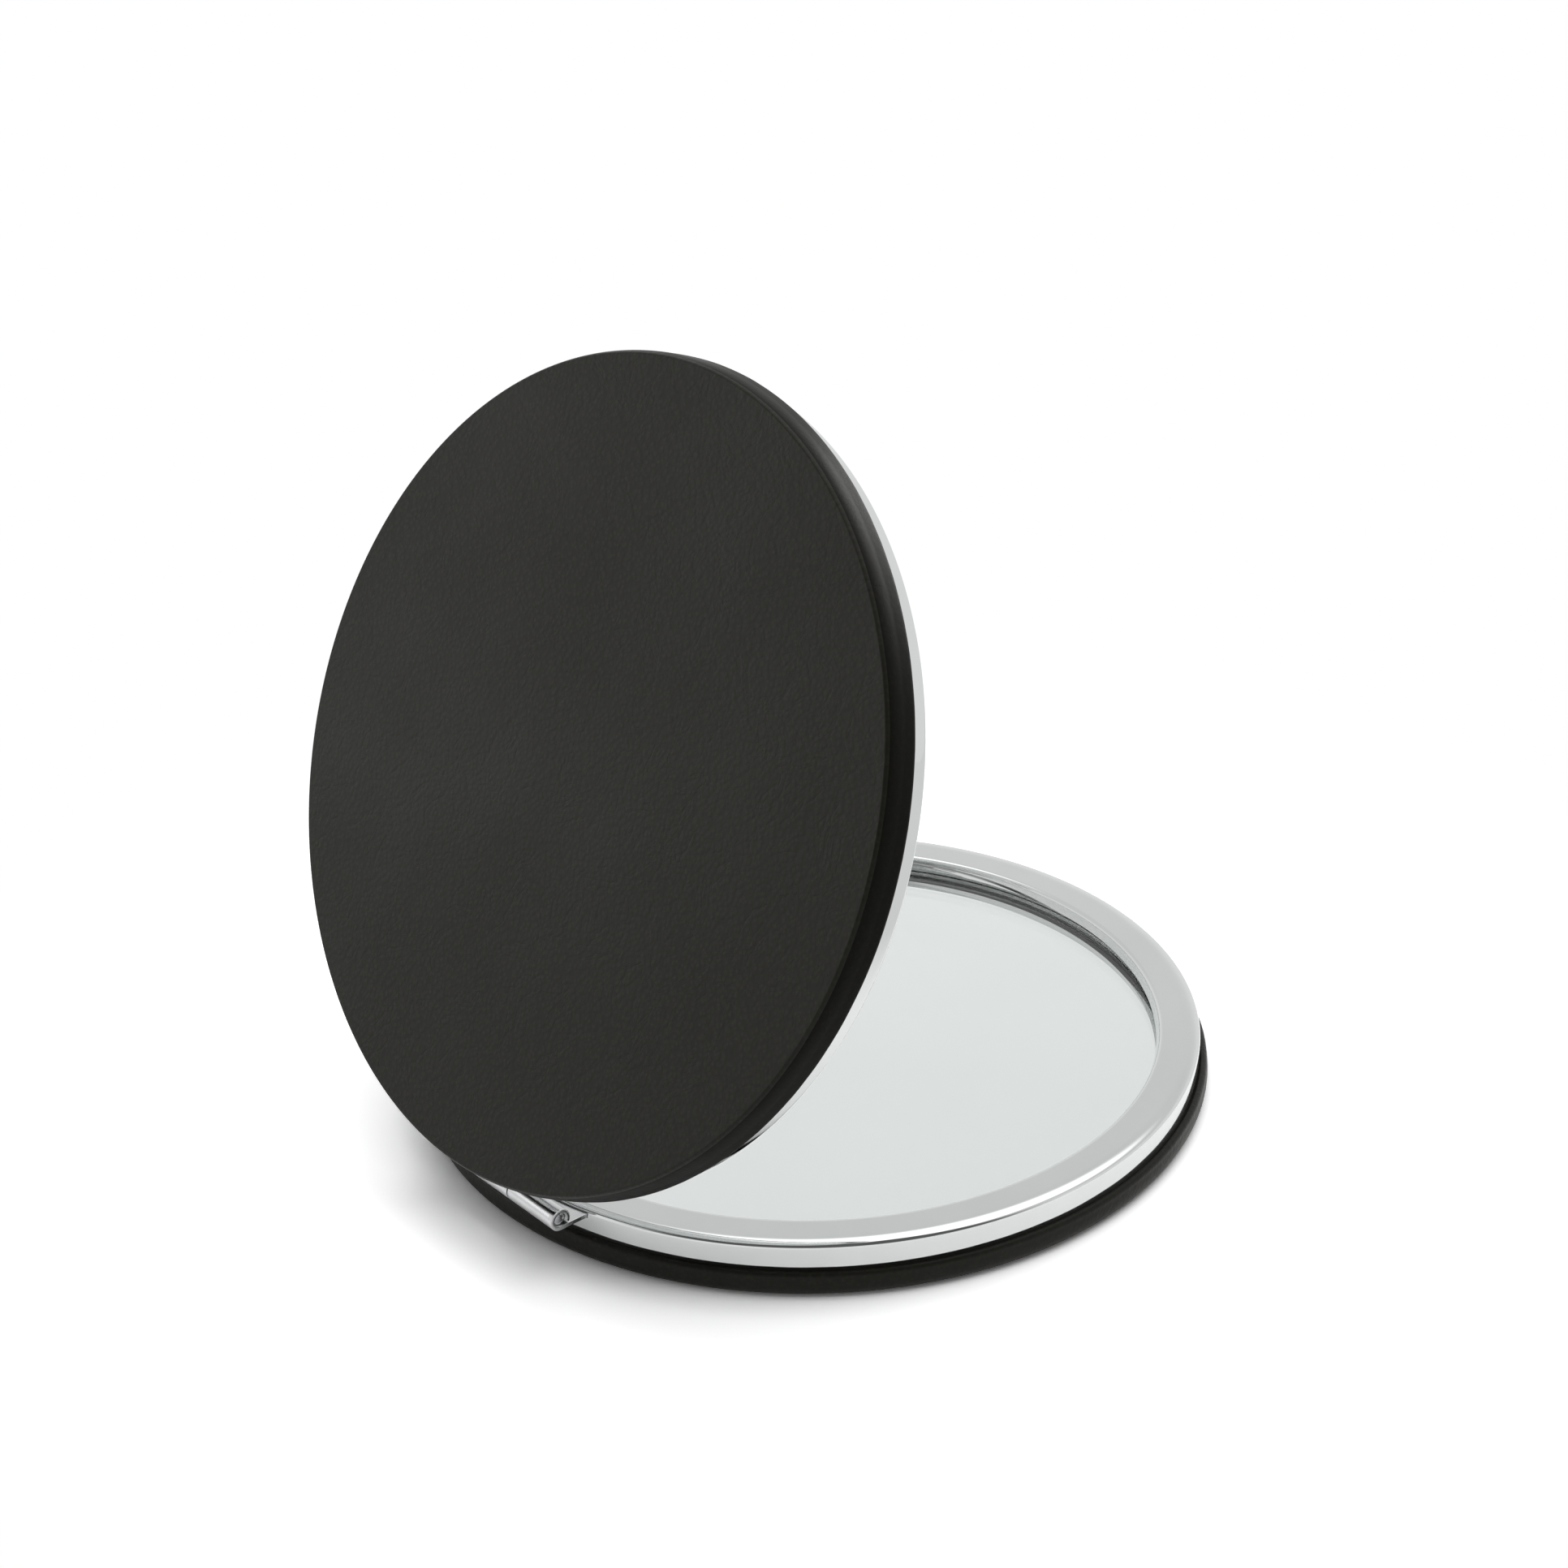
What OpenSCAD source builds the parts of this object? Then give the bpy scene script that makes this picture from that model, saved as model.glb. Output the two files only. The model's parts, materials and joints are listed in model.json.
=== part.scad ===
// Round compact mirror: two padded leather halves with chrome rings, joined by a curled-leaf hinge.
// The base rests on z = 0 and the hinge is at the back, on +Y. The lid stands open over the base.

/* [Overall] */
// Diameter over the leather covers
cover_d = 70; // [56:0.5:90]
// Angle that the lid stands open at, from closed
lid_open = 64; // [0:1:180]
// Gap between the two chrome rings when the mirror is closed
closing_gap = 0.2; // [0.1:0.05:0.5]

/* [Leather covers] */
// Thickness of the leather
leather_t = 0.5; // [0.3:0.05:0.7]
// Thickness of the pared leather that is turned in under the ring
lip_t = 0.4; // [0.2:0.05:0.5]
// How far the leather stands out beyond the ring's wall
cover_overhang = 0.6; // [0.3:0.05:0.9]
// Radius of the cover's outer edge
cover_edge_r = 1; // [0.75:0.05:1.2]
// Radius of the leather's shoulder beside the ring
cover_shoulder_r = 0.35; // [0.1:0.05:0.4]
// Thickness of the foam under the leather
foam_t = 0.8; // [0.5:0.05:1.2]

/* [Chrome rings] */
// Height of the ring's wall above the leather
ring_h = 2.25; // [1.9:0.05:2.5]
// Width of the ring's flat face, from the wall to the opening
ring_w = 3.7; // [3:0.1:5]
// Thickness of the stamped sheet
sheet_t = 0.5; // [0.3:0.05:0.6]
// Radius of the ring's outer edge
ring_edge_r = 0.6; // [0.3:0.05:0.8]
// Radius of the ring's edge round the opening
ring_lip_r = 0.3; // [0.1:0.05:0.5]
// Depth of the ring's inner wall, from its face
inner_wall_h = 1; // [0.7:0.05:1.1]

/* [Mirrors] */
// Depth of the glass below the ring's face
recess = 1.25; // [1.2:0.05:1.6]
// Thickness of the flat glass in the base
glass_t = 1.3; // [1:0.05:1.6]
// Thickness of the dished glass in the lid
lid_glass_t = 0.9; // [0.7:0.05:1]
// How far the lid's magnifying glass is dished, at its middle
dish_depth = 0.48; // [0.2:0.02:0.6]
// Thickness of the silver coat and its film
backing_t = 0.1; // [0.05:0.05:0.15]
// Thickness of the foam tape behind the flat glass
tape_t = 0.2; // [0.15:0.05:0.4]
// How much smaller the tape is than the glass, all round
tape_inset = 1.2; // [0.5:0.1:4]
// Width of the tape ring behind the dished glass
tape_ring_w = 4; // [2:0.1:8]

/* [Trays] */
// Thickness of the tray's floor
tray_floor_t = 0.95; // [0.6:0.05:1.5]
// Side gap where one piece fits round another
fit_gap = 0.12; // [0.05:0.01:0.2]
// Gap left for glue between a wrapped or seated piece and its seat
glue_gap = 0.05; // [0.03:0.01:0.08]

/* [Hinge] */
// Length of the whole barrel
barrel_l = 19; // [14:0.5:22]
// Length of the lid's curl, in the middle
lid_curl_l = 6.6; // [4:0.2:9]
// Side gap between two curls
curl_gap = 0.15; // [0.1:0.05:0.3]
// Thickness of the hinge leaf
leaf_t = 0.4; // [0.3:0.05:0.5]
// Diameter of the pin
pin_d = 1.14; // [1:0.02:1.4]
// Radial running gap round the pin
pin_gap = 0.03; // [0.02:0.01:0.06]
// How far the pin's ends sit inside the barrel
pin_sink = 0.2; // [0.1:0.05:0.5]
// Chamfer on the pin's ends
pin_chamfer = 0.15; // [0.05:0.05:0.25]
// Free space between the barrel and the rings' walls, at the middle
barrel_gap = 0.4; // [0.3:0.05:1]
// Width of the slit where a curl's end comes back to the leaf
slit_w = 0.12; // [0.08:0.01:0.2]
// Diameter of the tray's two posts that hold the leaf
post_d = 1; // [0.6:0.1:1.2]
// Distance between the two posts
post_spacing = 12; // [8:0.5:13]

/* [Magnets] */
// Length of each bar magnet
magnet_l = 7; // [4:0.5:9]
// Width of each bar magnet
magnet_w = 1.4; // [1:0.1:1.4]
// Depth of each bar magnet
magnet_h = 1.5; // [1:0.1:1.8]

/* [Hidden] */

round_fn = 144;
small_fn = 48;
arc_steps = 6;
dish_steps = 12;
over = 0.5;

// Heights in one half, from the leather's outer face inwards
foam_z = leather_t;
tray_z = foam_z + foam_t;
floor_z = tray_z + tray_floor_t;
backing_z = floor_z + tape_t;
glass_z = backing_z + backing_t;
glass_top = glass_z + glass_t;
half_h = glass_top + recess;
cover_h = half_h - ring_h;
rim_top = half_h - sheet_t - glue_gap;

// Radii in one half
cover_r = cover_d / 2;
core_r = cover_r - leather_t - glue_gap;
ring_r = cover_r - cover_overhang;
ring_in_r = ring_r - sheet_t;
opening_r = ring_r - ring_w;
pocket_r = opening_r + sheet_t + fit_gap;
rim_r = ring_in_r - fit_gap;
glass_r = pocket_r - fit_gap;
tape_r = glass_r - tape_inset;

// The lid's dished glass: heights of its back and of the floor below it, and the radius of its curve
lid_back_z = half_h - recess - lid_glass_t;
lid_floor_z = lid_back_z - backing_t - dish_depth - fit_gap;
dish_r = (pow(glass_r, 2) + pow(dish_depth, 2)) / (2 * dish_depth);

// Hinge axis and leaf
bore_r = pin_d / 2 + pin_gap;
barrel_r = bore_r + leaf_t;
hinge_y = ring_r + barrel_gap + barrel_r;
hinge_z = half_h + closing_gap / 2;
leaf_top = half_h - sheet_t;
leaf_z = leaf_top - leaf_t;
leaf_in_r = pocket_r + fit_gap;
base_curl_l = (barrel_l - lid_curl_l) / 2 - curl_gap;
base_curls = [[-barrel_l / 2, base_curl_l], [barrel_l / 2 - base_curl_l, base_curl_l]];
lid_curls = [[-lid_curl_l / 2, lid_curl_l]];
tongue_y = sqrt(pow(rim_r, 2) - pow(barrel_l / 2, 2)) - fit_gap;
post_r = (leaf_in_r + rim_r) / 2;
post_y = sqrt(pow(post_r, 2) - pow(post_spacing / 2, 2));

// Magnet place, midway across the rim and opposite the hinge
magnet_y = -(pocket_r + rim_r) / 2;

// Points of a quarter turn of radius r about [x, y], from angle a
function quarter(x, y, r, a) = [
    for (i = [0 : arc_steps]) [x + r * cos(a + 90 * i / arc_steps), y + r * sin(a + 90 * i / arc_steps)]
];

// How far the dished glass lies below its rim, at distance r from the middle
function dish(r) = sqrt(pow(dish_r, 2) - pow(r, 2)) - (dish_r - dish_depth);

// Points of a dished surface from radius a to radius b, whose rim lies at height z
function dish_line(a, b, z) = [
    for (i = [0 : dish_steps]) let (r = a + (b - a) * i / dish_steps) [r, z - dish(r)]
];

function reversed(list) = [for (i = [len(list) - 1 : -1 : 0]) list[i]];

// A plain disc of one half, from height z
module disc(r, z, t) {
    translate([0, 0, z]) cylinder(r = r, h = t, $fn = round_fn);
}

// Leather shell: flat outer face, rounded edge, side, shoulder and the lip turned in under the ring
module leather_shell() {
    inner_r = cover_r - leather_t;
    inner_edge_r = cover_edge_r - leather_t;
    lip_z = cover_h - lip_t;
    rotate_extrude($fn = round_fn) polygon(concat(
        [[0, 0]],
        quarter(cover_r - cover_edge_r, cover_edge_r, cover_edge_r, -90),
        quarter(cover_r - cover_shoulder_r, cover_h - cover_shoulder_r, cover_shoulder_r, 0),
        [[rim_r + glue_gap, cover_h], [rim_r + glue_gap, lip_z], [inner_r, lip_z]],
        reversed(quarter(inner_r - inner_edge_r, foam_z + inner_edge_r, inner_edge_r, -90)),
        [[0, foam_z]]
    ));
}

// Foam disc with its lower edge rounded to lie in the leather
module foam_disc() {
    foam_edge_r = cover_edge_r - leather_t;
    rotate_extrude($fn = round_fn) polygon(concat(
        [[0, foam_z]],
        quarter(core_r - foam_edge_r, foam_z + foam_edge_r, foam_edge_r, -90),
        [[core_r, tray_z], [0, tray_z]]
    ));
}

// Stamped ring: outer wall, flat face and inner wall of one thin sheet
module stamped_ring() {
    inner_edge_r = max(ring_edge_r - sheet_t, glue_gap);
    wall_foot = half_h - inner_wall_h;
    face_z = half_h - sheet_t;
    rotate_extrude($fn = round_fn) polygon(concat(
        [[ring_in_r, cover_h], [ring_r, cover_h]],
        quarter(ring_r - ring_edge_r, half_h - ring_edge_r, ring_edge_r, 0),
        quarter(opening_r + ring_lip_r, half_h - ring_lip_r, ring_lip_r, 90),
        [[opening_r, wall_foot], [opening_r + sheet_t, wall_foot], [opening_r + sheet_t, face_z]],
        reversed(quarter(ring_in_r - inner_edge_r, face_z - inner_edge_r, inner_edge_r, 0))
    ));
}

// Chrome ring of one half, with a slot in its wall for each tongue of the hinge leaf
module ring_half(curls) {
    difference() {
        stamped_ring();
        for (c = curls)
            translate([c[0] - glue_gap, tongue_y, leaf_z - glue_gap])
                cube([c[1] + 2 * glue_gap, cover_r, leaf_t + glue_gap]);
    }
}

// Plan of the leaf's plate, inside the ring
module leaf_plan() {
    intersection() {
        difference() {
            circle(r = rim_r, $fn = round_fn);
            circle(r = leaf_in_r, $fn = round_fn);
        }
        translate([-barrel_l / 2, 0]) square([barrel_l, cover_r]);
    }
}

// Tray of one half: floor, shoulder that the leather is turned over, and rim that carries the ring
module tray_half(floor_top) {
    shoulder_z = cover_h - lip_t - glue_gap;
    difference() {
        union() {
            disc(core_r, tray_z, shoulder_z - tray_z);
            disc(rim_r, tray_z, rim_top - tray_z);
        }
        disc(pocket_r, floor_top, half_h - floor_top);
        leaf_recess();
        magnet_pocket();
    }
    leaf_posts(leaf_top, post_d);
}

// Space for the leaf's plate, across the top of the rim at the back
module leaf_recess() {
    translate([-barrel_l / 2 - glue_gap, 0, leaf_z])
        cube([barrel_l + 2 * glue_gap, cover_r, half_h - leaf_z]);
}

// The tray's two posts through the leaf, up to height top
module leaf_posts(top, d) {
    for (side = [-1, 1])
        translate([side * post_spacing / 2, post_y, leaf_z - leaf_t])
            cylinder(d = d, h = top - leaf_z + leaf_t, $fn = small_fn);
}

// Pocket for the magnet, open at the top of the rim
module magnet_pocket() {
    pocket_l = magnet_l + 2 * glue_gap;
    pocket_w = magnet_w + 2 * glue_gap;
    translate([-pocket_l / 2, magnet_y - pocket_w / 2, rim_top - magnet_h])
        cube([pocket_l, pocket_w, magnet_h + over]);
}

// Bar magnet, flush with the top of the rim
module magnet_bar() {
    translate([-magnet_l / 2, magnet_y - magnet_w / 2, rim_top - magnet_h])
        cube([magnet_l, magnet_w, magnet_h]);
}

// Hinge leaf of one half: plate under the ring's face, and tongues curled round the pin
module leaf_half(curls) {
    difference() {
        union() {
            translate([0, 0, leaf_z]) linear_extrude(leaf_t) leaf_plan();
            for (c = curls) tongue(c);
        }
        leaf_posts(half_h, post_d + 2 * glue_gap);
        translate([-barrel_l, hinge_y, hinge_z]) rotate([0, 90, 0])
            cylinder(r = bore_r, h = 2 * barrel_l, $fn = small_fn);
        for (c = curls) curl_slit(c);
    }
}

// One tongue from the plate to the barrel, with its curl; c holds its start and its length
module tongue(c) {
    translate([c[0], tongue_y, leaf_z]) cube([c[1], hinge_y - tongue_y, leaf_t]);
    translate([c[0], hinge_y, hinge_z]) rotate([0, 90, 0])
        cylinder(r = barrel_r, h = c[1], $fn = small_fn);
}

// Slit between the end of the curl and the leaf
module curl_slit(c) {
    translate([c[0] - over, hinge_y - barrel_r - over, leaf_top])
        cube([c[1] + 2 * over, barrel_r + over, slit_w]);
}

// Dished disc as wide as the glass, whose rim lies between heights z1 and z2
module dished_disc(z1, z2) {
    rotate_extrude($fn = round_fn)
        polygon(concat(dish_line(0, glass_r, z1), reversed(dish_line(0, glass_r, z2))));
}

// Ring of foam tape behind the dished glass, from the tray's floor to the curved backing
module ring_tape() {
    rotate_extrude($fn = round_fn) polygon(concat(
        [[tape_r - tape_ring_w, lid_floor_z], [tape_r, lid_floor_z]],
        reversed(dish_line(tape_r - tape_ring_w, tape_r, lid_back_z - backing_t))
    ));
}

// Turns a piece of one half over on to the closed base, then opens it about the hinge
module on_lid() {
    translate([0, hinge_y, hinge_z]) rotate([-lid_open, 0, 0]) translate([0, -hinge_y, -hinge_z])
        translate([0, 0, 2 * hinge_z]) mirror([0, 0, 1]) children();
}

module base_leather_cover() { color("#232427") leather_shell(); }
module base_foam_pad() { color("#c9c4b8") foam_disc(); }
module base_tray() { color("#3a3c3e") tray_half(floor_z); }
module base_mirror_tape() { color("#e4e6e4") disc(tape_r, floor_z, tape_t); }
module base_mirror_backing() { color("#dfe1e0") disc(glass_r, backing_z, backing_t); }
module base_mirror_glass() { color("#cfe0dc", 0.5) disc(glass_r, glass_z, glass_t); }
module base_frame() { color("#c4c6c5") ring_half(base_curls); }
module base_hinge_leaf() { color("#b4b6b7") leaf_half(base_curls); }
module base_magnet() { color("#8d9093") magnet_bar(); }

// Pin with chamfered ends, through the three curls
module hinge_pin() {
    pin_l = barrel_l - 2 * pin_sink;
    color("#9b9d9f") translate([-pin_l / 2, hinge_y, hinge_z]) rotate([0, 90, 0]) {
        cylinder(r1 = pin_d / 2 - pin_chamfer, r2 = pin_d / 2, h = pin_chamfer, $fn = small_fn);
        translate([0, 0, pin_chamfer]) cylinder(d = pin_d, h = pin_l - 2 * pin_chamfer, $fn = small_fn);
        translate([0, 0, pin_l - pin_chamfer])
            cylinder(r1 = pin_d / 2, r2 = pin_d / 2 - pin_chamfer, h = pin_chamfer, $fn = small_fn);
    }
}

module lid_leather_cover() { color("#2c2d2e") on_lid() leather_shell(); }
module lid_foam_pad() { color("#c9c4b8") on_lid() foam_disc(); }
module lid_tray() { color("#3a3c3e") on_lid() tray_half(lid_floor_z); }
module lid_mirror_tape() { color("#e4e6e4") on_lid() ring_tape(); }
module lid_mirror_backing() { color("#dfe1e0") on_lid() dished_disc(lid_back_z - backing_t, lid_back_z); }
module lid_mirror_glass() {
    color("#cfe0dc", 0.5) on_lid() dished_disc(lid_back_z, lid_back_z + lid_glass_t);
}
module lid_frame() { color("#c4c6c5") on_lid() ring_half(lid_curls); }
module lid_hinge_leaf() { color("#b4b6b7") on_lid() leaf_half(lid_curls); }
module lid_magnet() { color("#8d9093") on_lid() magnet_bar(); }

base_leather_cover();
base_foam_pad();
base_tray();
base_mirror_tape();
base_mirror_backing();
base_mirror_glass();
base_frame();
base_hinge_leaf();
base_magnet();
hinge_pin();
lid_leather_cover();
lid_foam_pad();
lid_tray();
lid_mirror_tape();
lid_mirror_backing();
lid_mirror_glass();
lid_frame();
lid_hinge_leaf();
lid_magnet();
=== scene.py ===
"""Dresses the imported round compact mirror: leather covers, chrome rings, mirrors, hinge, and the studio."""

import json
import math

import bpy
from bpy.props import FloatProperty, FloatVectorProperty, IntProperty, PointerProperty
from mathutils import Matrix, Vector, noise


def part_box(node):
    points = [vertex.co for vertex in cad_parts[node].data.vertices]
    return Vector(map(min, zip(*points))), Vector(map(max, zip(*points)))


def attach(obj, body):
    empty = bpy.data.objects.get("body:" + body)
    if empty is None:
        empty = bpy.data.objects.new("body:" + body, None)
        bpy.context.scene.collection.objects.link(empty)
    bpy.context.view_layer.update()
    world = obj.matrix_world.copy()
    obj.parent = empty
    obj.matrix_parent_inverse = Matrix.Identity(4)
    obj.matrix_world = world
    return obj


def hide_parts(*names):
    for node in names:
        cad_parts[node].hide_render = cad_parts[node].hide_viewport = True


bl_info = {
    "name": "Round compact mirror",
    "version": (1, 0, 0),
    "blender": (4, 5, 0),
    "location": "3D View > Sidebar > Compact Mirror",
    "description": "Dresses a round compact mirror with leather, chrome, glass and a curled hinge",
    "category": "Object",
}

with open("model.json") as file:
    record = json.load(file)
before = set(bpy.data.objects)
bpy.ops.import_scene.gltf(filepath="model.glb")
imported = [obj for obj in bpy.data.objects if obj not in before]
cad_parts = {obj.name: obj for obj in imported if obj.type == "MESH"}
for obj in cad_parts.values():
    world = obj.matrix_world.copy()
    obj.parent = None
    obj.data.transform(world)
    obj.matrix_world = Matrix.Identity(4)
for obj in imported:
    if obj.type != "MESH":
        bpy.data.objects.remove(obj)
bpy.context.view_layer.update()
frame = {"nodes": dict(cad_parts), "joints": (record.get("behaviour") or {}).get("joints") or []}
HINGE = Vector(frame["joints"][0]["pos_m"])

MM = 0.001
HAIR = 0.01 * MM  # a step too small to see
MERGE = 0.002 * MM  # points nearer than this are one
CUT = MERGE / 100  # how near a point counts as on a cut
SEED_SIZE = 0.1 * MM  # the plane that a traced piece starts from
HALVES = BASE, LID = "base", "lid"


def top_of(node):
    """Greatest height of a CAD node."""
    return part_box(node)[1].z


def foot_of(node):
    """Least height of a CAD node."""
    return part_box(node)[0].z


def radius_of(node):
    """Radius of a round CAD node that is centred on the vertical axis."""
    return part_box(node)[1].x


def length(name, description, default, low=0.0):
    """A size in metres that the sidebar shows with its unit."""
    return FloatProperty(
        name=name, description=description, default=default, min=low, precision=5,
        subtype="DISTANCE", unit="LENGTH",
    )


def colour(name, description, default):
    """A linear colour that the sidebar shows as a swatch."""
    return FloatVectorProperty(
        name=name, description=description, default=default, size=3, min=0.0, max=1.0, subtype="COLOR"
    )


def share(name, description, default, high=1.0):
    """A plain number from 0 up to high."""
    return FloatProperty(name=name, description=description, default=default, min=0.0, max=high, precision=3)


def turn(name, description, degrees):
    """An angle."""
    return FloatProperty(
        name=name, description=description, default=math.radians(degrees), subtype="ANGLE", unit="ROTATION"
    )


def power(name, description, default):
    """The power of a lamp."""
    return FloatProperty(name=name, description=description, default=default, min=0.0, unit="POWER")


class CompactSizes(bpy.types.PropertyGroup):
    """Sizes of the mirror's pieces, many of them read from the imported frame."""

    cover_radius: length("Cover radius", "Radius over the leather", radius_of("base_leather_cover"))
    cover_height: length("Cover height", "From the outer face to the ring's foot", top_of("base_leather_cover"))
    cover_edge: length("Base edge width", "Width of the base cover's rounded edge", 1.5 * MM)
    cover_side: length("Base edge height", "Height of the base cover's rounded edge", 1.3 * MM)
    lid_edge: length("Lid edge width", "Width of the lid cover's rounded side", 0.5 * MM)
    lid_side: length("Lid edge height", "Height of the lid cover's rounded side", 1.7 * MM)
    base_bulge: length("Base bulge", "How far the base cover's side is pressed out", 0.12 * MM)
    lid_rise: length("Lid padding", "How much higher the lid's leather stands beside the ring", 0.52 * MM)
    face_skin: length("Face thickness", "Thickness of the leather on the outer face", 0.5 * MM)
    lip_height: length("Lip thickness", "Thickness of the leather turned in under the ring", 0.4 * MM)
    core_radius: length("Core radius", "Radius of the foam and tray inside the leather", 34.47 * MM)
    lip_radius: length("Lip radius", "Inner radius of the turned-in leather", 33.85 * MM)
    crease_radius: length("Crease radius", "Where the leather is pressed down beside the ring", 34.47 * MM)
    crease_drop: length("Crease depth", "Depth of that crease below the cover's top", 0.4 * MM)
    bead_radius: length("Bead radius", "Radius of the leather's rolled shoulder", 0.42 * MM)
    bead_drop: length("Bead drop", "How far the shoulder's top lies below the cover's top", 0.28 * MM)
    bead_bulge: length("Bead bulge", "How far the shoulder stands out from the cover's side", 0.07 * MM)
    lid_crown: length("Lid crown", "How far the foam pushes the lid's outer face out in the middle", 0.14 * MM)
    # faces of the lid's cover above this height get the leather with painted shade
    painted_shade_start: length("Edge finish", "Height at which the lid's leather is stretched smooth", 0.3 * MM)
    gather_depth: length("Gather depth", "Depth of the small gathers along the rolled shoulder", 0.035 * MM)
    ring_radius: length("Ring radius", "Outer radius of the chrome rings", radius_of("base_frame"))
    ring_foot: length("Ring foot", "Height of a ring's pressed-in foot", top_of("base_leather_cover") - 0.18 * MM)
    ring_top: length("Ring top", "Height of the ring's face", top_of("base_frame"))
    ring_crown: length("Ring edge width", "Width over which the face falls away to the wall", 1.22 * MM)
    ring_drop: length("Ring edge height", "Height of the rounded outer edge", 0.54 * MM)
    ring_square: FloatProperty(
        name="Ring edge squareness", description="2 is an ellipse, more is squarer", default=2.5, min=1.5, max=6.0
    )
    opening_radius: length("Opening radius", "Radius of the opening round the glass", 30.7 * MM)
    lip_round: length("Opening edge radius", "Radius of the ring's edge round the opening", 0.4 * MM)
    inner_wall: length("Inner wall", "Depth of the ring's inner wall", 1.0 * MM)
    inner_draft: length("Inner draft", "How far the foot of the inner wall leans in", 0.2 * MM)
    sheet: length("Sheet thickness", "Thickness of the ring's stamped sheet", 0.5 * MM)
    glass_radius: length("Glass radius", "Radius of both glasses", radius_of("base_mirror_glass"))
    glass_low: length("Glass underside", "Height of the flat glass's underside", foot_of("base_mirror_glass"))
    glass_high: length("Glass top", "Height of both glasses' tops at the rim", top_of("base_mirror_glass"))
    lid_glass_low: length("Lid glass underside", "Height of the dished glass's underside at its rim", 2.95 * MM)
    dish: length("Dish", "How far the lid's glass is dished in the middle", 0.48 * MM)
    silver_bite: length("Silver overlap", "How far the silver coat sits in the glass", 0.02 * MM)
    backing: length("Backing thickness", "Thickness of the silver coat and its film", 0.1 * MM)
    foam_low: length("Foam underside", "Height of the foam's outer face", foot_of("base_foam_pad"))
    foam_high: length("Foam top", "Height of the foam's inner face", top_of("base_foam_pad"))
    foam_edge: length("Foam edge radius", "Radius of the foam's rounded edge", 0.5 * MM)
    tape_radius: length("Tape radius", "Outer radius of the foam tape", radius_of("base_mirror_tape"))
    tape_low: length("Tape underside", "Height of the tray's floor", foot_of("base_mirror_tape"))
    tape_width: length("Lid tape width", "Width of the tape ring behind the dished glass", 4.0 * MM)
    leaf: length("Leaf thickness", "Thickness of the hinge leaf", 0.4 * MM)
    leaf_low: length("Leaf underside", "Height of the hinge leaf's underside", foot_of("base_hinge_leaf"))
    leaf_inner: length("Leaf inner radius", "Inner radius of the leaf's plate", 31.44 * MM)
    leaf_outer: length("Leaf outer radius", "Outer radius of the leaf's plate", 33.76 * MM)
    barrel: length("Barrel length", "Length of the hinge barrel", 2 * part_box("base_hinge_leaf")[1].x)
    lid_curl: length("Lid curl length", "Length of the lid's curl, in the middle", 6.6 * MM)
    curl_gap: length("Curl gap", "Side gap between two curls", 0.15 * MM)
    slot_slack: length("Slot slack", "Free space round a tongue in the ring's wall", 0.05 * MM)
    pin_radius: length("Pin radius", "Radius of the hinge pin", (top_of("hinge_pin") - foot_of("hinge_pin")) / 2)
    pin_half: length("Pin half length", "Half of the hinge pin's length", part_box("hinge_pin")[1].x)
    lid_angle: turn("Lid angle", "How far the lid stands open in the frame", 64.0)
    steps: IntProperty(name="Steps", description="Segments round each turned piece", default=288, min=48, max=720)
    seed: IntProperty(name="Seed", description="Seed of the leather's small unevenness", default=7, min=0)


class CompactFinishes(bpy.types.PropertyGroup):
    """Colours of the mirror's finishes."""

    leather: colour("Leather", "Black imitation leather", (0.0061, 0.006, 0.0045))
    # painted shade: the lid's side band is darkened to this share of the leather's colour, standing in for the
    # shade that falls there
    edge_painted_shade: share("Edge tone", "How dark the leather stretched round the lid's edge is, as a share", 0.5)
    leather_high: colour("Leather highlights", "Leather where the grain stands up", (0.0112, 0.0109, 0.0083))
    chrome: colour("Chrome", "Bright chrome plate", (0.6, 0.612, 0.608))
    silver: colour("Silver", "Silver coat behind the glass", (0.8, 0.825, 0.815))
    film: colour("Film", "Paint film on the back of the silver", (0.22, 0.225, 0.23))
    glass: colour("Glass", "Clear float glass", (0.982, 0.993, 0.988))
    steel: colour("Hinge steel", "Plated steel of the leaves and the pin", (0.56, 0.565, 0.57))
    magnet: colour("Magnet", "Nickel-plated magnets", (0.42, 0.425, 0.44))
    foam: colour("Foam", "Closed-cell foam under the leather", (0.55, 0.52, 0.46))
    tape: colour("Tape", "White foam tape", (0.78, 0.79, 0.78))
    tray: colour("Tray", "Moulded plastic tray", (0.05, 0.052, 0.055))
    floor: colour("Floor", "Plain pale floor", (0.93, 0.93, 0.935))


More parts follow.
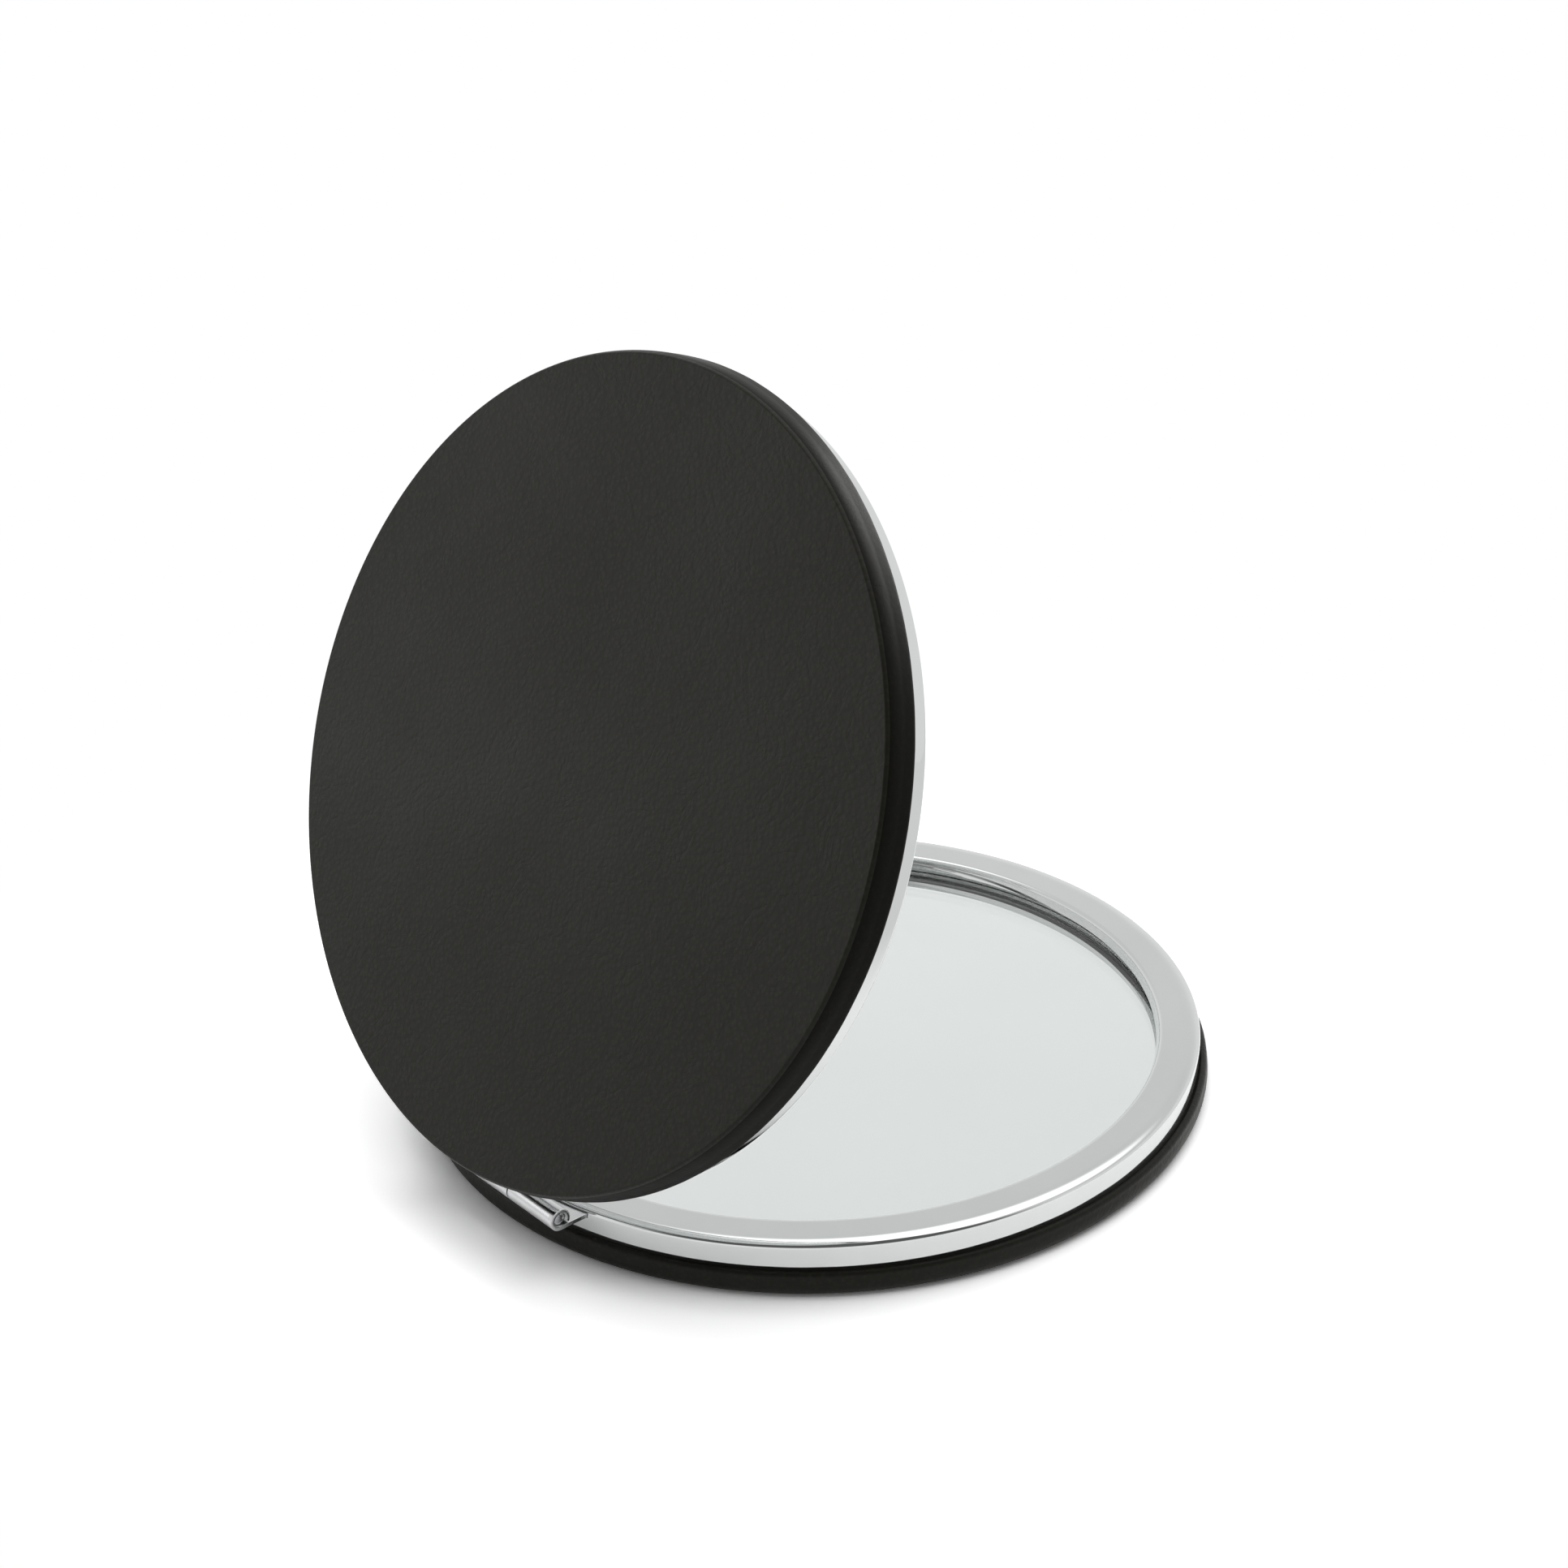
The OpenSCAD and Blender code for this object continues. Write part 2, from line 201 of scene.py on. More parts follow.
class StudioSettings(bpy.types.PropertyGroup):
    """Camera and light of the studio."""

    azimuth: turn("Azimuth", "Where the camera stands round the mirror", 230.683)
    elevation: turn("Elevation", "Height of the camera above the floor, as an angle", 28.554)
    roll: turn("Roll", "Tilt of the camera about its own axis", -1.645)
    distance: length("Distance", "From the camera to its target plane", 350.58 * MM)
    aim_right: length("Aim right", "Target's place to the right of the origin", -2.1325 * MM, -1.0)
    aim_up: length("Aim up", "Target's place above the origin", 25.7959 * MM, -1.0)
    lens: FloatProperty(name="Focal length", description="Focal length in millimetres", default=89.182, min=10.0)
    key_power: power("Key light", "Power of the large lamp overhead", 9.0)
    edge_power: power("Edge light", "Power of the lamp that lines the lid's edge", 2.8)
    key_glow: share("Key light in metal", "Brightness of the large lamp as metal and glass see it", 1.9, 10.0)
    side_power: power("Side light", "Power of the lamp that gives the lid its sheen", 0.64)
    sky: share("Sky", "Strength of the plain light from all round", 0.4, 2.0)
    sky_low: share("Low sky in metal", "Strength of the low background in metal and glass", 1.06, 2.0)
    sky_high: share("High sky in metal", "The same for the high background", 0.88, 2.0)
    room: share("Dark room", "Brightness of the dark room behind the camera", 0.14)
    floor_white: share("White floor in metal", "Strength of the floor further off in metal and glass", 0.98, 2.0)
    room_left: turn("Room's left", "How far the dark room reaches to the left of the camera", 62.0)
    room_right: turn("Room's right", "How far it reaches to the right", 70.0)
    room_low: turn("Room's foot", "Angle above the floor at which it begins", 8.0)
    room_top: turn("Room's top", "Angle above the floor at which it ends", 82.0)
    floor_gain: share("Floor gain", "How much lighter the floor looks to the eye than as a light", 1.35, 2.0)
    floor_metal: share("Floor gain in metal", "The same for the floor in metal and glass", 1.3, 2.0)
    floor_near: length("Shadow radius", "Radius within which the floor shows its own light and shadow", 0.045)
    floor_far: length("White radius", "Radius beyond which the floor is plain white", 0.09)


# ---------------------------------------------------------------- modelling


def clear_selection():
    """Leaves edit mode and deselects everything."""
    if bpy.context.object and bpy.context.object.mode != "OBJECT":
        bpy.ops.object.mode_set(mode="OBJECT")
    bpy.ops.object.select_all(action="DESELECT")


def pick(piece):
    """Makes piece the only selected object, and the active one."""
    clear_selection()
    piece.select_set(True)
    bpy.context.view_layer.objects.active = piece


def named(name):
    """The object just made, under this name."""
    piece = bpy.context.object
    piece.name = piece.data.name = name
    return piece


def trace(name, points):
    """Starts a piece in edit mode: a small plane merged to one vertex, extruded along the points."""
    clear_selection()
    bpy.ops.mesh.primitive_plane_add(size=SEED_SIZE, location=points[0])
    piece = named(name)
    bpy.ops.object.transform_apply(location=True)
    bpy.ops.object.mode_set(mode="EDIT")
    bpy.ops.mesh.select_mode(type="VERT")
    bpy.ops.mesh.select_all(action="SELECT")
    bpy.ops.mesh.merge(type="CENTER")
    for here, there in zip(points, points[1:]):
        bpy.ops.mesh.extrude_region_move(TRANSFORM_OT_translate={"value": there - here})
    return piece


def heal():
    """In edit mode: merges doubles, and turns the faces outwards."""
    bpy.ops.mesh.select_all(action="SELECT")
    bpy.ops.mesh.remove_doubles(threshold=MERGE)
    bpy.ops.mesh.normals_make_consistent(inside=False)


def spin_all(steps, angle):
    """In edit mode: spins all that is there about the vertical axis, and heals it."""
    bpy.ops.mesh.select_all(action="SELECT")
    bpy.ops.mesh.spin(steps=steps, angle=angle, center=(0, 0, 0), axis=(0, 0, 1))
    heal()


def turned(name, profile, steps):
    """A turned piece: its profile of (radius, height) points spun once round the vertical axis."""
    piece = trace(name, [Vector((r, 0, z)) for r, z in profile])
    spin_all(steps, math.tau)
    bpy.ops.object.mode_set(mode="OBJECT")
    return piece


def arc(centre, radii, start, end, steps):
    """Points (radius, height) of an elliptical arc about centre, between two angles in degrees."""
    angles = [math.radians(start + (end - start) * i / steps) for i in range(steps + 1)]
    return [(centre[0] + radii[0] * math.cos(a), centre[1] + radii[1] * math.sin(a)) for a in angles]


def line(start, end, steps):
    """Points from start up to but not on end."""
    return [tuple(s + (e - s) * i / steps for s, e in zip(start, end)) for i in range(steps)]


def apply_modifier(piece, kind, **settings):
    """Adds a modifier with these settings, and applies it."""
    pick(piece)
    modifier = piece.modifiers.new(kind.title(), kind)
    for key, value in settings.items():
        setattr(modifier, key, value)
    bpy.ops.object.modifier_apply(modifier=modifier.name)


def smooth(piece, angle=35.0):
    """Smooth shading between faces that meet at less than angle, with flat faces kept flat."""
    pick(piece)
    bpy.ops.object.shade_smooth_by_angle(angle=math.radians(angle))
    apply_modifier(piece, "WEIGHTED_NORMAL", keep_sharp=True, weight=60)


def select_where(piece, kind, test):
    """In edit mode: selects only the faces whose centre, or the edges whose ends, pass the test."""
    bpy.ops.mesh.select_mode(type=kind)
    bpy.ops.mesh.select_all(action="DESELECT")
    bpy.ops.object.mode_set(mode="OBJECT")
    mesh = piece.data
    if kind == "EDGE":
        ends = [[mesh.vertices[i].co for i in edge.vertices] for edge in mesh.edges]
        mesh.edges.foreach_set("select", [bool(test(a) and test(b)) for a, b in ends])
    else:
        mesh.polygons.foreach_set("select", [bool(test(f.center)) for f in mesh.polygons])
    bpy.ops.object.mode_set(mode="EDIT")


def mark_faces(piece, test):
    """Gives the second material to the faces that pass the test."""
    for face in piece.data.polygons:
        face.material_index = 1 if test(face) else 0


def turn_to_lid(piece):
    """Turns a piece of the lying half over on to the closed base, then opens it about the hinge."""
    opening = bpy.context.scene.compact_sizes.lid_angle
    pick(piece)
    bpy.ops.object.mode_set(mode="EDIT")
    bpy.ops.mesh.select_all(action="SELECT")
    for angle, axis, centre in ((math.pi, "Y", (0, 0, HINGE.z)), (opening, "X", HINGE)):
        bpy.ops.transform.rotate(value=angle, orient_axis=axis, orient_type="GLOBAL", center_override=centre)
    bpy.ops.object.mode_set(mode="OBJECT")


def settle(piece, half, node, slot, *finishes):
    """Puts a finished piece on its half, with its materials and body, and hides the CAD node it stands for; slot
    is not used.
    """
    if half == LID:
        turn_to_lid(piece)
    for finish in finishes:
        piece.data.materials.append(finish)
    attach(piece, half)
    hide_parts(node)


# ---------------------------------------------------------------- materials


class Nodes:
    """Builds the nodes of a material or a world. Its values are output sockets or plain numbers."""

    def __init__(self, owner, output):
        owner.use_nodes = True
        self.tree = owner.node_tree
        self.tree.nodes.clear()
        self.surface = self.add(output).inputs["Surface"]

    def add(self, kind, **settings):
        """A new node; settings are its properties or, where it has no such property, its inputs."""
        node = self.tree.nodes.new(kind)
        for key, value in settings.items():
            if hasattr(node, key):
                setattr(node, key, value)
            else:
                self.feed(node.inputs[key.replace("_", " ")], value)
        return node

    def feed(self, socket, value):
        """Joins an input to a value from another node, or sets it to a plain one."""
        if isinstance(value, bpy.types.NodeSocket):
            self.tree.links.new(value, socket)
        else:
            socket.default_value = value

    def fed(self, node, *values, output=0):
        """Feeds a node's first inputs, and gives one of its outputs."""
        for socket, value in zip(node.inputs, values):
            self.feed(socket, value)
        return node.outputs[output]

    def maths(self, operation, *values):
        """The result of a Math node."""
        return self.fed(self.add("ShaderNodeMath", operation=operation), *values)

    def vectors(self, operation, *values, output=0, **settings):
        """The result of a Vector Math node."""
        node = self.add("ShaderNodeVectorMath", operation=operation, **settings)
        return self.fed(node, *values, output=output)

    def ramp(self, value, low, high, start=0.0, end=1.0):
        """A value mapped from low..high to start..end."""
        return self.add(
            "ShaderNodeMapRange", clamp=True, Value=value, From_Min=low, From_Max=high, To_Min=start, To_Max=end
        ).outputs["Result"]

    def mix(self, factor, first, second):
        """A colour between two others, by a value."""
        pair = [c if isinstance(c, bpy.types.NodeSocket) else (*c, 1) for c in (first, second)]
        return self.add("ShaderNodeMix", data_type="RGBA", Factor=factor, A=pair[0], B=pair[1]).outputs["Result"]

    def blend(self, factor, first, second):
        """Shows a mix of two shaders."""
        self.feed(self.surface, self.fed(self.add("ShaderNodeMixShader"), factor, first, second))


class Finish(Nodes):
    """A procedural material: a Principled shader with plain numbers, and patterns on Object coordinates."""

    def __init__(self, name, half=BASE, **sockets):
        self.material = bpy.data.materials.new(name)
        super().__init__(self.material, "ShaderNodeOutputMaterial")
        self.shader = self.add("ShaderNodeBsdfPrincipled", **sockets)
        self.feed(self.surface, self.shader.outputs["BSDF"])
        self.place = self.add("ShaderNodeTexCoord").outputs["Object"]
        self.relief = None
        if half == LID:
            # the pattern lies on the open lid's disc as it does on the base's
            shut = (bpy.context.scene.compact_sizes.lid_angle, 0, 0)
            back = self.mapped(self.place, Location=-HINGE)
            self.place = self.mapped(back, Rotation=shut, Location=(0, HINGE.y, 0))

    def mapped(self, place, **settings):
        """Coordinates moved, turned or scaled."""
        return self.add("ShaderNodeMapping", vector_type="POINT", Vector=place, **settings).outputs["Vector"]

    def noise(self, scale, detail=3.0, roughness=0.5, vector=None, distortion=0.0):
        """Noise with features of about 1 / scale metres."""
        return self.add(
            "ShaderNodeTexNoise", Vector=vector or self.place, Scale=scale, Detail=detail, Roughness=roughness,
            Distortion=distortion,
        ).outputs["Fac"]

    def cells(self, scale, smoothness=0.4, vector=None):
        """Soft cells about 1 / scale metres across."""
        return self.add(
            "ShaderNodeTexVoronoi", feature="SMOOTH_F1", Vector=vector or self.place, Scale=scale,
            Smoothness=smoothness,
        ).outputs["Distance"]

    def warped(self, scale, amount):
        """Coordinates pushed about by noise, so that a pattern isn't regular."""
        push = self.noise(scale, 2.0).node.outputs["Color"]
        off = self.vectors("SUBTRACT", push, (0.5, 0.5, 0.5))
        return self.vectors("ADD", self.place, self.vectors("SCALE", off, Scale=amount))

    def give(self, socket, value):
        """Feeds an input of the surface shader."""
        self.feed(self.shader.inputs[socket], value)

    def tint(self, value, shade, dark, low=0.3, high=0.7):
        """Base colour from a darker shade, at low, to the shade itself, at high."""
        self.give("Base Color", self.mix(self.ramp(value, low, high), [c * dark for c in shade], shade))

    def rough(self, value, start, end, low=0.3, high=0.7):
        """Roughness from start, at low, to end, at high."""
        self.give("Roughness", self.ramp(value, low, high, start, end))

    def bump(self, height, millimetres):
        """A bump of that real height, on top of the bumps already made."""
        node = self.add("ShaderNodeBump", Strength=1.0, Distance=millimetres * MM, Height=height)
        if self.relief:
            self.feed(node.inputs["Normal"], self.relief)
        self.relief = node.outputs["Normal"]
        self.give("Normal", self.relief)


def leather_finish(name, half, stretched_painted_dark=False):
    """Black imitation leather: pebbled grain, faint creases, and an edge rubbed smoother; the lid's edge variant
    has less sheen and relief, and painted shade that darkens its colour.
    """
    colours = bpy.context.scene.compact_finishes
    # the lid's edge variant: lower sheen and relief, and painted shade, its colour darkened by the edge share
    tone, sheen, depth = (colours.edge_painted_shade, 0.05, 0.3) if stretched_painted_dark else (1.0, 0.14, 1.0)
    skin = Finish(name, half, Specular_IOR_Level=sheen, IOR=1.5, Specular_Tint=(1.0, 0.995, 0.93, 1.0))
    warped = skin.warped(700.0, 0.22 * MM)
    pebbles = skin.cells(2300.0, vector=warped)
    creases = skin.noise(210.0, 4.0, 0.62, vector=warped, distortion=0.6)
    off_crease = skin.maths("ABSOLUTE", skin.maths("SUBTRACT", creases, 0.5))
    lines = skin.ramp(off_crease, 0.0, 0.035, 1.0, 0.0)
    patches = skin.noise(38.0, 3.0, 0.55)
    high = skin.ramp(pebbles, 0.05, 0.55, 1.0, 0.0)
    shade = skin.maths("MULTIPLY", high, skin.ramp(patches, 0.3, 0.7, 0.35, 1.0))
    # painted shade: on the lid's edge both leather colours are darkened by that share
    low_tone, high_tone = ([c * tone for c in plain] for plain in (colours.leather, colours.leather_high))
    skin.give("Base Color", skin.mix(shade, low_tone, high_tone))
    rub = skin.add("ShaderNodeAttribute", attribute_name="rub").outputs["Fac"]
    worn = skin.maths("MULTIPLY", rub, 0.07)
    skin.give("Roughness", skin.maths("SUBTRACT", skin.ramp(patches, 0.3, 0.7, 0.43, 0.52), worn))
    for pattern, height in ((pebbles, -0.016), (skin.noise(9000.0, 2.0), 0.004), (lines, -0.007)):
        skin.bump(pattern, height * depth)
    return skin.material


def chrome_finish(name, half):
    """Bright chrome plate on stamped sheet: a trace of waviness and hairline wiping marks."""
    plate = Finish(name, half, Metallic=1.0, Specular_IOR_Level=0.5)
    haze = plate.noise(120.0, 4.0, 0.6)
    wipes = plate.noise(900.0, 3.0, 0.6, vector=plate.mapped(plate.place, Scale=(0.15, 1.0, 1.0)))
    plate.tint(haze, bpy.context.scene.compact_finishes.chrome, 0.97, 0.35, 0.65)
    soft, marks = plate.ramp(haze, 0.3, 0.7, 0.035, 0.06), plate.ramp(wipes, 0.62, 0.8, 0.0, 0.05)
    plate.give("Roughness", plate.maths("ADD", soft, marks))
    plate.bump(plate.noise(70.0, 1.0), 0.006)
    return plate.material


def steel_finish(name, shade):
    """Plated steel with fine drawing lines along the hinge."""
    steel = Finish(name, Metallic=1.0)
    drawn = steel.noise(2600.0, 3.0, 0.6, vector=steel.mapped(steel.place, Scale=(0.08, 1.0, 1.0)))
    steel.tint(steel.noise(420.0), shade, 0.9, 0.35, 0.65)
    steel.rough(drawn, 0.16, 0.3)
    steel.bump(drawn, 0.0015)
    return steel.material


def grained_finish(name, shade, scale, dark, rough, height=0.0, detail=3.0, **sockets):
    """A finish whose tone, roughness and relief, in millimetres, follow one noise."""
    plain = Finish(name, **sockets)
    grain = plain.noise(scale, detail)
    plain.tint(grain, shade, dark)
    plain.rough(grain, *rough)
    if height:
        plain.bump(grain, height)
    return plain.material


def clear_glass_finish(name, shade):
    """Clear float glass with a breath of haze."""
    glass = Finish(name, Transmission_Weight=1.0, IOR=1.52)
    breath = glass.noise(45.0, 2.0)
    light = [min(1.0, c * 1.006) for c in shade]
    glass.give("Base Color", glass.mix(glass.ramp(breath, 0.3, 0.7), shade, light))
    glass.rough(breath, 0.0, 0.008, 0.45, 0.75)
    return glass.material


def foam_finish(name, shade, cell):
    """Foam: fine closed cells with thin walls."""
    foam = Finish(name, Specular_IOR_Level=0.2)
    bubbles = foam.cells(cell, 0.2)
    foam.tint(bubbles, shade, 0.8, 0.1, 0.6)
    foam.rough(bubbles, 0.8, 0.95, 0.1, 0.6)
    foam.bump(bubbles, 0.05)
    return foam.material


def plastic_finish(name, shade):
    """Moulded plastic: fine spark texture and slight flow marks."""
    plastic = Finish(name, Specular_IOR_Level=0.4)
    spark = plastic.noise(3500.0)
    plastic.tint(plastic.noise(60.0, distortion=1.0), shade, 0.85)
    plastic.rough(spark, 0.45, 0.6)
    plastic.bump(spark, 0.006)
    return plastic.material


# ---------------------------------------------------------------- pieces


def cover_profile(sizes, half):
    """Closed profile of a leather cover, from the middle of its outer face round to the inside."""
    lid = half == LID
    edge, tall = (sizes.lid_edge, sizes.lid_side) if lid else (sizes.cover_edge, sizes.cover_side)
    rise, bulge = (sizes.lid_rise, 0.0) if lid else (0.0, sizes.base_bulge)
    side, bead_side = sizes.cover_radius + bulge, sizes.cover_radius + sizes.bead_bulge
    face_end, foot, bead = side - edge, sizes.cover_height, sizes.bead_radius
    bead_centre = (bead_side - bead, foot - sizes.bead_drop - bead + rise)
    crease = foot - sizes.crease_drop + rise
    core, skin, fold = sizes.core_radius, sizes.face_skin, sizes.foam_edge
    return [
        *line((0, 0), (face_end, 0), 22),
        *arc((face_end, tall), (edge, tall), -90, 0, 16),
        # the side, a hair proud of a straight line up to the shoulder
        (side + HAIR, tall + 0.15 * MM),
        ((side + bead_side) / 2 + HAIR, (tall + bead_centre[1]) / 2 + 0.05 * MM),
        (bead_side - HAIR, bead_centre[1] - 0.12 * MM),
        *arc(bead_centre, (bead, bead), 0, 108, 10),
        # the crease beside the ring, and the seat pressed in under it
        (sizes.crease_radius + 0.015 * MM, crease + HAIR),
        (sizes.crease_radius, crease),
        (sizes.ring_radius + 2 * HAIR, min(crease, sizes.ring_foot) + 4 * HAIR),
        (sizes.ring_radius - 5 * HAIR, sizes.ring_foot),
        (sizes.lip_radius, sizes.ring_foot),
        # back along the inside of the lip, the side and the face
        (sizes.lip_radius, foot - sizes.lip_height),
        (core, foot - sizes.lip_height - 3 * HAIR),
        (core, skin + fold),
        *arc((core - fold, skin + fold), (fold, fold), -12, -90, 5),
        *line((core - 3 * fold, skin), (0, skin), 12),
        (0, skin),
    ]


def hump(place, middle, width):
    """A smooth rise to 1 at middle, down to about a third one width away."""
    return math.exp(-(((place - middle) / width) ** 2))


def pull_leather(piece, half, sizes):
    """Sculpt-like moves: the lid's crown, unevenness over its foam, and small gathers on the shoulder."""
    lid = half == LID
    rub = piece.data.attributes.new("rub", "FLOAT", "POINT")
    worn = []
    shift = Vector((sizes.seed * 3.1, 11.7 if lid else 2.3, 0.0))
    face_end = sizes.cover_radius - (sizes.lid_edge if lid else sizes.cover_edge)
    shoulder_at = sizes.cover_height - sizes.crease_drop + (sizes.lid_rise if lid else 0.0)
    patch, unevenness, edge_inset, edge_width = 11 * MM, 0.05 * MM, 0.3 * MM, 0.5 * MM
    for vertex in piece.data.vertices:
        place = vertex.co.copy()
        radius = math.hypot(place.x, place.y)
        out = Vector((place.x, place.y, 0)) / max(radius, MERGE)
        if lid and place.z < sizes.face_skin + 10 * HAIR:
            on_face = max(0.0, 1 - (radius / face_end) ** 2)
            uneven = noise.noise(place / patch + shift) * unevenness * min(1.0, 3 * on_face)
            vertex.co.z -= sizes.lid_crown * on_face + uneven
        outer = 1.0 if radius > sizes.core_radius + 5 * HAIR else 0.0
        around = out * 11.0 + shift
        gather = noise.noise(around) * 0.6 + noise.noise(around * 2.3) * 0.4
        shoulder = hump(place.z, shoulder_at, sizes.bead_radius) * outer
        vertex.co -= out * sizes.gather_depth * (0.5 + gather) * shoulder
        edge = hump(radius, sizes.cover_radius - edge_inset, edge_width) * outer
        worn.append(edge * (0.6 + 0.8 * noise.noise(around * 0.7)))
    rub.data.foreach_set("value", [min(1.0, max(0.0, w)) for w in worn])
    piece.data.update()


class COMPACT_OT_leather_covers(bpy.types.Operator):
    """Padded leather covers: grained skin wrapped round the foam and turned in under the ring"""

    bl_idname = "compact.leather_covers"
    bl_label = "Leather covers"

    def execute(self, context):
        sizes = context.scene.compact_sizes
        for half in HALVES:
            piece = turned(f"{half}_leather", cover_profile(sizes, half), sizes.steps)
            pull_leather(piece, half, sizes)
            smooth(piece, 50.0)
            finishes = [leather_finish(f"{half}_leather_grain", half)]
            if half == LID:
                # the lid's side band gets a second leather whose colour carries painted shade, darker than the
                # face
                finishes.append(leather_finish("lid_leather_painted_dark_edge", half, stretched_painted_dark=True))
                mark_faces(piece, lambda face: face.center.z > sizes.painted_shade_start)
            settle(piece, half, f"{half}_leather_cover", "leather", *finishes)
        return {"FINISHED"}


class COMPACT_OT_foam_pads(bpy.types.Operator):
    """Thin foam pads under the leather, with soft edges"""

    bl_idname = "compact.foam_pads"
    bl_label = "Foam pads"

    def execute(self, context):
        sizes = context.scene.compact_sizes
        finish = foam_finish("pad_foam", context.scene.compact_finishes.foam, cell=3200.0)
        radius, edge, soft = sizes.core_radius - 3 * HAIR, sizes.foam_edge, 12 * HAIR
        low, high = sizes.foam_low, sizes.foam_high
        for half in HALVES:
            profile = [
                *line((0, low), (radius - edge, low), 6),
                *arc((radius - edge, low + edge), (edge, edge), -90, 0, 6),
                *arc((radius - soft, high - soft), (soft, soft), 0, 90, 3),
                *line((radius - edge, high), (0, high), 4),
                (0, high),
            ]
            piece = turned(f"{half}_foam", profile, sizes.steps // 2)
            smooth(piece)
            settle(piece, half, f"{half}_foam_pad", "foam", finish)
        return {"FINISHED"}


def dish_height(radius, sizes):
    """How far the dished glass lies below its rim at a radius."""
    curve = (sizes.glass_radius**2 + sizes.dish**2) / (2 * sizes.dish)
    return math.sqrt(curve**2 - radius**2) - (curve - sizes.dish)


def disc_profile(sizes, half, low, high, radius, chamfer):
    """Closed profile of a flat disc for the base, or of a dished one for the lid."""

    def at(r, z):
        return (r, z - (dish_height(r, sizes) if half == LID else 0.0))

    rings = 20
    radii = [(radius - chamfer) * i / rings for i in range(rings + 1)]
    return [
        *[at(r, low) for r in radii],
        (radius, low + chamfer),
        (radius, high - chamfer),
        *[at(r, high) for r in reversed(radii)],
    ]


class COMPACT_OT_mirror_tapes(bpy.types.Operator):
    """Foam tape that holds each glass: a disc in the base, a ring behind the lid's dished glass"""

    bl_idname = "compact.mirror_tapes"
    bl_label = "Mirror tapes"

    def execute(self, context):
        sizes = context.scene.compact_sizes
        finish = foam_finish("tape_foam", context.scene.compact_finishes.tape, cell=5200.0)
        soft, low, outer = 4 * HAIR, sizes.tape_low, sizes.tape_radius
        inner, under = outer - sizes.tape_width, sizes.lid_glass_low - sizes.backing
        tops = [outer + (inner - outer) * i / 6 for i in range(7)]
        profiles = {
            BASE: disc_profile(sizes, BASE, low, sizes.glass_low - sizes.backing, outer, soft),
            LID: [
                (inner + soft, low),
                (outer - soft, low),
                (outer, low + soft),
                *[(r, under - dish_height(r, sizes)) for r in tops],
                (inner, low + soft),
                (inner + soft, low),
            ],
        }
        for half, profile in profiles.items():
            piece = turned(f"{half}_tape", profile, sizes.steps // 2)
            smooth(piece)
            settle(piece, half, f"{half}_mirror_tape", "foam_tape", finish)
        return {"FINISHED"}


class COMPACT_OT_mirror_backings(bpy.types.Operator):
    """Silver coats behind the glasses, with a paint film on their backs"""

    bl_idname = "compact.mirror_backings"
    bl_label = "Mirror backings"

    def execute(self, context):
        sizes, colours = context.scene.compact_sizes, context.scene.compact_finishes
        silver = grained_finish(
            "silver_coat", colours.silver, scale=55.0, detail=2.0, dark=0.985, rough=(0.0, 0.012), Metallic=1.0
        )
        film = grained_finish(
            "backing_film", colours.film, scale=1500.0, dark=0.9, rough=(0.35, 0.5), height=0.004,
            Specular_IOR_Level=0.4,
        )
        for half in HALVES:
            glass = sizes.glass_low if half == BASE else sizes.lid_glass_low
            low, top, radius = glass - sizes.backing, glass + sizes.silver_bite, sizes.glass_radius - 6 * HAIR
            piece = turned(f"{half}_silver", disc_profile(sizes, half, low, top, radius, 2 * HAIR), sizes.steps)
            mark_faces(piece, lambda face: face.normal.z < 0.5)
            smooth(piece)
            settle(piece, half, f"{half}_mirror_backing", "silvering", silver, film)
        return {"FINISHED"}


class COMPACT_OT_mirror_glasses(bpy.types.Operator):
    """Flat glass in the base and dished glass in the lid, each with a ground edge"""

    bl_idname = "compact.mirror_glasses"
    bl_label = "Mirror glasses"

    def execute(self, context):
        sizes, shade = context.scene.compact_sizes, context.scene.compact_finishes.glass
        clear = clear_glass_finish("clear_glass", shade)
        ground = grained_finish(
            "ground_glass_edge", shade, scale=6000.0, dark=0.9, rough=(0.35, 0.55), height=0.005,
            Transmission_Weight=1.0, IOR=1.52,
        )
        for half in HALVES:
            low = sizes.glass_low if half == BASE else sizes.lid_glass_low
            profile = disc_profile(sizes, half, low, sizes.glass_high, sizes.glass_radius, 15 * HAIR)
            piece = turned(f"{half}_glass", profile, sizes.steps)
            mark_faces(piece, lambda face: abs(face.normal.z) < 0.9)
            smooth(piece)
            settle(piece, half, f"{half}_mirror_glass", "glass", clear, ground)
        return {"FINISHED"}


def ring_profile(sizes):
    """Outer surface of a stamped ring: wall, rounded edge, flat face, and the wall round the opening."""
    radius, top = sizes.ring_radius, sizes.ring_top
    crown, drop, lip = sizes.ring_crown, sizes.ring_drop, sizes.lip_round
    inner, power = sizes.opening_radius, 2 / sizes.ring_square
    turns = [math.pi / 2 * i / 16 for i in range(1, 16)]
    edge = [(crown * math.cos(a) ** power, drop * math.sin(a) ** power) for a in turns]
    return [
        (radius, sizes.ring_foot),
        (radius, sizes.leaf_low - sizes.slot_slack),
        (radius, top - drop),
        *[(radius - crown + out, top - drop + up) for out, up in edge],
        (radius - crown, top),
        (radius - crown - 10 * HAIR, top),
        (inner + lip + 10 * HAIR, top),
        *arc((inner + lip, top - lip), (lip, lip), 90, 174, 7),
        (inner - sizes.inner_draft * 0.1, top - lip - 7 * HAIR),
        (inner - sizes.inner_draft, top - sizes.inner_wall),
    ]


def curls_of(half, sizes):
    """Start and end along the pin of each curl of one half's leaf."""
    side = sizes.lid_curl / 2
    if half == LID:
        return [(-side, side)]
    inner, outer = side + sizes.curl_gap, sizes.barrel / 2
    return [(-outer, -inner), (inner, outer)]


